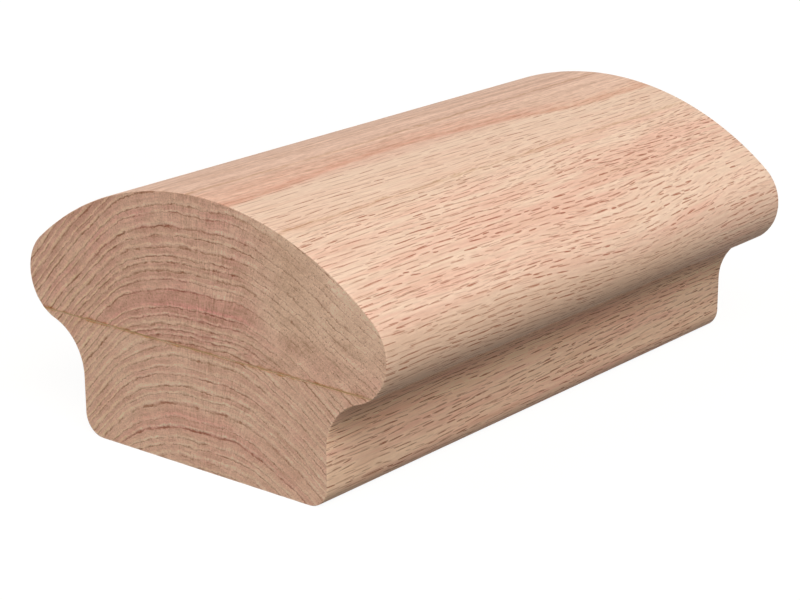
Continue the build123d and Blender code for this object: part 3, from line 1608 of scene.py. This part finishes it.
# Tints that the streaks and the bands of painted shade and light multiply the wood by. Past 255 they lighten
# it.
STREAK = paint(255, 243, 238)
STREAK_EDGE = paint(240, 223, 217)
CREAM_LIGHT = paint(259, 262, 261)
BROWN_LINE = paint(232, 220, 204)
RED_UPPER = Course(0.5, step=6.0, step_from=-1.0, step_to=37.0)
RED_LOWER = Course(7.2, bow=-2.6, bow_at=-12.8, bow_reach=24.0, step=2.0, step_from=11.0, step_to=34.0)
CREAM_UPPER = Course(6.5, step=-6.8, step_from=8.0, step_to=32.0)
HAIRLINE = Course(-1.5, bow=0.43, bow_at=-21.0, step=-0.87, step_from=0.0, step_to=50.0)
# Painted shade: a grey tint that darkens the crown's left side.
LEFT_PAINTED_SHADE = paint(250, 249, 247)
UPPER_FACE = LongGrain(
    name="upper_oak_face",
    cream=paint(246, 213, 186),
    rosy=paint(241, 193, 168),
    tan=paint(234, 194, 164),
    dash=paint(188, 144, 128),
    bare_at=-5.5,
    bare_reach=9.0,
    calm_reach=20.0,
    swirl=2.1,
    kinks=(Blush(33.0, 30.0, 3.6, 4.6, 0.5),),
    pale_from=38.0,
    streaks_and_painted_shading=(
        StreakOrShading(RED_UPPER, RED_LOWER, 1.0, 0.5, STREAK, 0.7),
        StreakOrShading(replace(RED_LOWER, across=5.7), RED_LOWER, 0.9, 0.35, STREAK_EDGE, 0.9),
        StreakOrShading(HAIRLINE, replace(HAIRLINE, across=-0.8), 0.25, 0.15, BROWN_LINE, 0.9),
        StreakOrShading(CREAM_UPPER, RED_UPPER, 0.6, 0.6, CREAM_LIGHT, 0.8),
        # Painted shade over the crown's left side, fading in a little left of its top.
        StreakOrShading(Course(-70.0), Course(-3.0), 1.0, 5.0, LEFT_PAINTED_SHADE, 0.8),
        StreakOrShading(Course(16.1), Course(16.6), 0.2, 0.2, BROWN_LINE, 0.8),
        StreakOrShading(Course(-6.7), Course(-6.1), 0.3, 0.3, BROWN_LINE, 0.45),
        StreakOrShading(Course(-8.8), Course(-8.1), 0.3, 0.3, BROWN_LINE, 0.4),
    ),
    blushes=(
        Blush(25.4, -28.0, 3.9, 30.0, 0.42),
        Blush(25.2, 28.0, 3.3, 30.0, 0.38),
        Blush(33.5, -34.0, 2.2, 24.0, 0.25),
        Blush(37.3, 31.0, 1.8, 20.0, 0.35),
    ),
)
LOWER_FACE = LongGrain(
    name="lower_oak_face",
    cream=paint(251, 212, 180),
    rosy=paint(242, 185, 160),
    tan=paint(237, 194, 157),
    dash=paint(160, 118, 100),
    streaks_and_painted_shading=(
        # Painted light: a neutral tint that lightens the foot's side just under the cove.
        StreakOrShading(Course(57.3), Course(60.8), 1.3, 1.3, paint(265, 266, 262), 1.0),
        # Painted shade: a neutral tint that darkens the foot's lower part and its rounded corner.
        StreakOrShading(Course(63.2), Course(70.0), 1.6, 1.0, paint(247, 248, 247), 1.0),
    ),
)
UPPER_END = EndGrain(
    name="upper_oak_end",
    wood=paint(248, 204, 175),
    rosy=paint(240, 174, 156),
    last=paint(225, 172, 147),
    pale=paint(255, 223, 193),
    rosy_level=26.8,
    rosy_reach=1.7,
    pale_level=23.5,
    pale_reach=4.5,
)
LOWER_END = EndGrain(
    name="lower_oak_end",
    wood=paint(255, 214, 184),
    rosy=paint(247, 188, 165),
    last=paint(233, 183, 156),
    pale=paint(255, 228, 200),
    rosy_level=9.4,
    rosy_reach=1.8,
    pale_level=10.0,
    pale_reach=4.0,
    sandy=0.2,
    clear=0.85,
    lift=0.03,
)


def main() -> None:
    """Builds the rail from the bottom up, then the studio, and reports each piece."""
    logging.basicConfig(level=logging.INFO, format="%(name)s: %(message)s")
    low, high = (np.array(corner) for corner in cad_box)
    width, length, height = (float(side) for side in high - low)
    section = MouldedSection(width, height)
    joint_low, joint_high = (corner.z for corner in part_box("glue_line"))

    pieces = [
        Board(
            name="lower_oak_board", node="lower_board", slot="lower_oak", section=section, length=length,
            low=0.0, high=joint_low, below=Edge.UNDERSIDE, above=Edge.JOINT, columns=150,
            rings=LOWER_RINGS, face=LOWER_FACE, end=LOWER_END,
        ),
        GlueFilm(
            name="glue_film", node="glue_line", slot="glue", section=section, length=length,
            low=joint_low, high=joint_high, below=Edge.JOINT, above=Edge.JOINT, columns=150, rows=2,
            arris=0.03 * MM, recess=0.02 * MM,
        ),
        Board(
            name="upper_oak_board", node="upper_board", slot="upper_oak", section=section, length=length,
            low=joint_high, high=height, below=Edge.JOINT, above=Edge.CROWN,
            rings=UPPER_RINGS, face=UPPER_FACE, end=UPPER_END,
        ),
    ]
    for block in pieces:
        piece = block.build()
        block.dress(piece)
        block.seat(piece)
        mesh = piece.data
        log.info("%s: %d points, %d faces", piece.name, len(mesh.vertices), len(mesh.polygons))

    Camera().stand()
    studio = Studio()
    studio.light()
    studio.lay_floor(float(low[2]))
    bpy.context.scene.view_settings.view_transform = "Standard"


if __name__ == "__main__":
    main()
